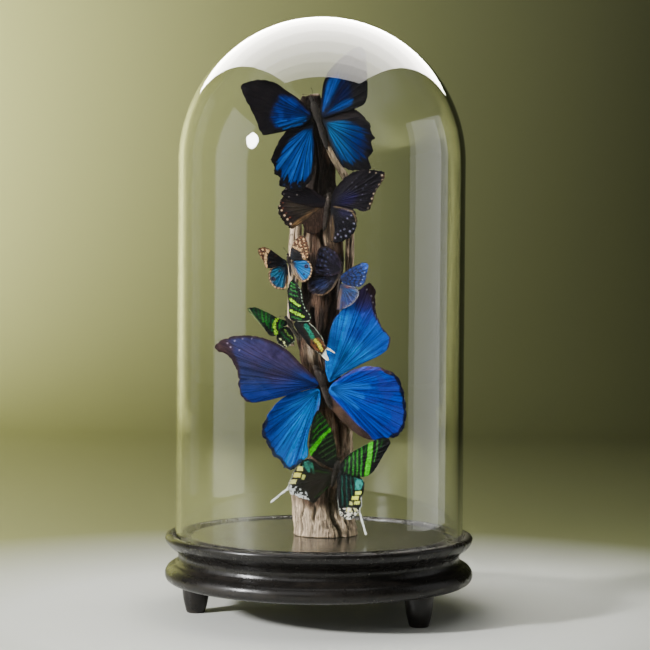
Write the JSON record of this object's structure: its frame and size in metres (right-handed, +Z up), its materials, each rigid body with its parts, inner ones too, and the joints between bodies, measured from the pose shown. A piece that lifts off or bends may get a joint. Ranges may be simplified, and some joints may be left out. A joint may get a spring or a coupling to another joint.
{
  "type": "insect in glass dome",
  "caption": "Dried butterflies and moths on a driftwood stem under a tall round-topped glass dome, on a turned black wooden base with short feet.",
  "frame": {"origin": "on the dome's axis, in the plane that the three feet stand on", "axes": "+Z up along the dome's axis, -Y towards the front, where the insects face, +X to the right seen from the front"},
  "size_m": [0.2046, 0.2046, 0.3951],
  "materials": {
    "ebonised_wood": "waxed, worn semi-gloss",
    "dome_glass": "clear polished",
    "driftwood": "dry weathered matte",
    "insect_body": "dry hairy matte",
    "pin_steel": "satin",
    "longwing_wing": "black with deep blue sheen",
    "crow_wing": "dark brown with a faint purple sheen and pale dots",
    "pansy_wing": "black and teal blue with cream and orange rims",
    "cracker_wing": "violet black and mottled blue",
    "sunset_wing": "black with metallic green bands, white tails",
    "morpho_wing": "brilliant metallic blue with a dark margin",
    "urania_wing": "black with metallic green bands, white tails"
  },
  "bodies": {
    "root": {"base_plinth": "ebonised_wood", "cracker_body": "insect_body", "cracker_forewing_left": "cracker_wing", "cracker_forewing_right": "cracker_wing", "cracker_hindwing_left": "cracker_wing", "cracker_hindwing_right": "cracker_wing", "cracker_pin": "pin_steel", "crow_body": "insect_body", "crow_forewing_left": "crow_wing", "crow_forewing_right": "crow_wing", "crow_hindwing_left": "crow_wing", "crow_hindwing_right": "crow_wing", "crow_pin": "pin_steel", "driftwood_left_limb": "driftwood", "driftwood_right_limb": "driftwood", "driftwood_trunk": "driftwood", "foot_back_right": "ebonised_wood", "foot_front_right": "ebonised_wood", "foot_left": "ebonised_wood", "glass_dome": "dome_glass", "longwing_body": "insect_body", "longwing_forewing_left": "longwing_wing", "longwing_forewing_right": "longwing_wing", "longwing_hindwing_left": "longwing_wing", "longwing_hindwing_right": "longwing_wing", "longwing_pin": "pin_steel", "morpho_body": "insect_body", "morpho_forewing_left": "morpho_wing", "morpho_forewing_right": "morpho_wing", "morpho_hindwing_left": "morpho_wing", "morpho_hindwing_right": "morpho_wing", "morpho_pin": "pin_steel", "pansy_body": "insect_body", "pansy_forewing_left": "pansy_wing", "pansy_forewing_right": "pansy_wing", "pansy_hindwing_left": "pansy_wing", "pansy_hindwing_right": "pansy_wing", "pansy_pin": "pin_steel", "sunset_body": "insect_body", "sunset_forewing_left": "sunset_wing", "sunset_forewing_right": "sunset_wing", "sunset_hindwing_left": "sunset_wing", "sunset_hindwing_right": "sunset_wing", "sunset_pin": "pin_steel", "urania_body": "insect_body", "urania_forewing_left": "urania_wing", "urania_forewing_right": "urania_wing", "urania_hindwing_left": "urania_wing", "urania_hindwing_right": "urania_wing", "urania_pin": "pin_steel"}
  },
  "joints": []
}
